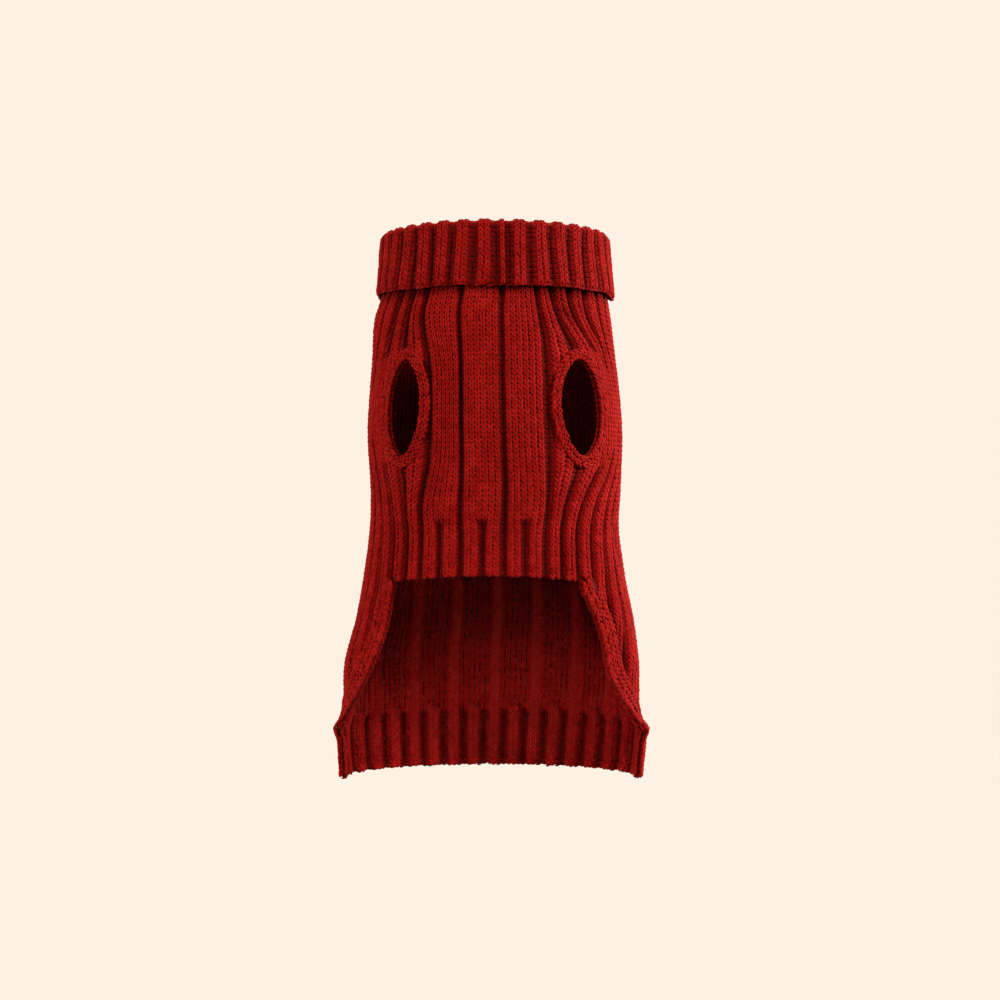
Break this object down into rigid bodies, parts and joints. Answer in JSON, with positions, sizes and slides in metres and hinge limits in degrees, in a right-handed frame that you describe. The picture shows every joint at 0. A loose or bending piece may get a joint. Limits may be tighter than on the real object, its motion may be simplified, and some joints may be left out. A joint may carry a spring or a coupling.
{
  "type": "dog sweater",
  "caption": "Rib-knitted dog sweater, filled out as if worn, with a turned-down polo collar, open leg holes, a ribbed belly edge and a longer ribbed back hem.",
  "frame": {"origin": "middle of the chest inside the body tube, level with the middle of the leg holes, where the wearer carries it", "axes": "+Z towards the neck, -Y towards the belly side, +X towards the wearer's left"},
  "size_m": [0.2248, 0.1538, 0.389],
  "materials": {
    "rib_knit": "chunky dark red rib knit, matt and slightly fuzzy, its fibre unknown",
    "rib_trim": "the same yarn in two-by-two ribbing and narrow knitted bands"
  },
  "bodies": {
    "root": {"collar": "rib_trim", "front_panel": "rib_knit", "back_panel": "rib_knit", "belly_rib": "rib_trim", "hem_rib": "rib_trim", "leg_band_left": "rib_trim", "leg_band_right": "rib_trim", "side_band_left": "rib_trim", "side_band_right": "rib_trim"}
  },
  "joints": []
}
